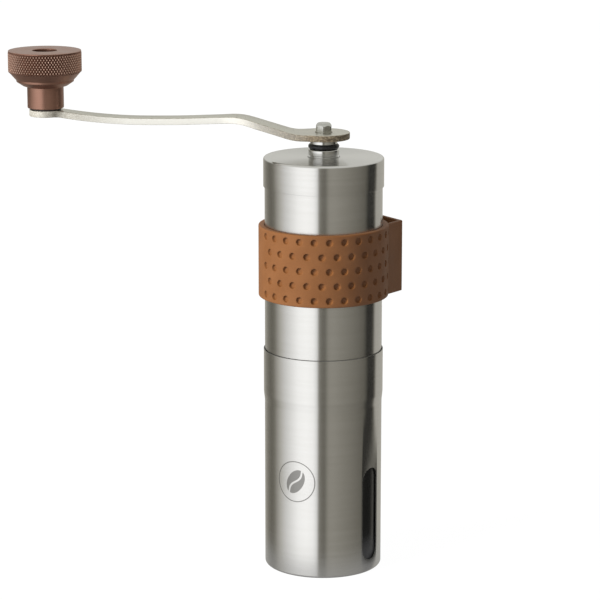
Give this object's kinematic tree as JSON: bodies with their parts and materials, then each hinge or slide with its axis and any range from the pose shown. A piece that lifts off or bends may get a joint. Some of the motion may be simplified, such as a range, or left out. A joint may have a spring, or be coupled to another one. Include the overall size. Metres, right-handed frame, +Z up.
{
  "type": "hand crank coffee grinder",
  "caption": "Slim cylindrical hand coffee grinder with a removable crank, turned knob, conical burr mill, grip band and windowed cup.",
  "frame": {"origin": "centre of the cup's flat bottom, on the surface it stands on", "axes": "+Z up along the shaft, -X from the shaft towards the crank's knob, -Y the front"},
  "size_m": [0.1628, 0.0556, 0.219],
  "materials": {
    "brushed_steel": "brushed round the body",
    "polished_steel": "polished",
    "turned_steel": "fine turned",
    "nickel_steel": "satin, with grained sheared edges",
    "brown_anodised": "brown anodised, knurled rim",
    "silicone": "matt brown silicone",
    "smoked_plastic": "clear smoked",
    "black_rubber": "semi-matt",
    "black_plastic": "moulded",
    "bearing_plastic": "turned white plastic",
    "burr_ceramic": "unglazed white ceramic",
    "brass": "turned"
  },
  "bodies": {
    "cup": {"cup_shell": "brushed_steel", "window_liner": "smoked_plastic"},
    "body": {"hopper_tube": "brushed_steel", "grip_band": "silicone", "shaft_spider": "black_plastic", "upper_bush": "bearing_plastic", "burr_carrier": "black_plastic", "lower_bush": "bearing_plastic", "ring_burr": "burr_ceramic", "ring_burr_retainer": "black_plastic"},
    "drive": {"drive_shaft": "turned_steel", "shaft_collar": "polished_steel", "collar_oring": "black_rubber", "thrust_washer": "turned_steel", "retaining_clip": "turned_steel", "burr_spring": "turned_steel"},
    "burr_set": {"inner_burr": "burr_ceramic", "spring_washer": "turned_steel", "burr_hub": "black_plastic"},
    "dial": {"adjusting_dial": "black_plastic", "dial_nut": "brass"},
    "crank": {"crank_arm": "nickel_steel", "knob_washer": "black_plastic", "knob_stud": "turned_steel"},
    "knob": {"crank_knob": "brown_anodised", "knob_bush": "bearing_plastic"},
    "lid": {"lid_shell": "brushed_steel"}
  },
  "joints": [
    {"name": "body_lift", "type": "slide", "parent": "cup", "child": "body", "axis": [0, 0, 1], "range_m": [0, 0.03]},
    {"name": "crank_spin", "type": "hinge", "parent": "body", "child": "drive", "pos_m": [0, 0, 0.16], "axis": [0, 0, 1], "continuous": true},
    {"name": "crank_lift", "type": "slide", "parent": "drive", "child": "crank", "axis": [0, 0, 1], "range_m": [0, 0.04]},
    {"name": "knob_spin", "type": "hinge", "parent": "crank", "child": "knob", "pos_m": [-0.1145, 0, 0.2], "axis": [0, 0, 1], "continuous": true},
    {"name": "lid_lift", "type": "slide", "parent": "body", "child": "lid", "axis": [0, 0, 1], "range_m": [0, 0.02]},
    {"name": "burr_feed", "type": "slide", "parent": "drive", "child": "burr_set", "axis": [0, 0, 1], "range_m": [-0.00125, 0.00045], "deforming": ["burr_spring"]},
    {"name": "dial_turn", "type": "hinge", "parent": "burr_set", "child": "dial", "pos_m": [0, 0, 0.079], "axis": [0, 0, 1], "range_deg": [-540, 180]}
  ],
  "couplings": [
    {"joint": "lid_lift", "follows": "crank_lift", "ratio": 0.5},
    {"joint": "burr_feed", "follows": "dial_turn", "m_per_rad": 0.00012732}
  ]
}
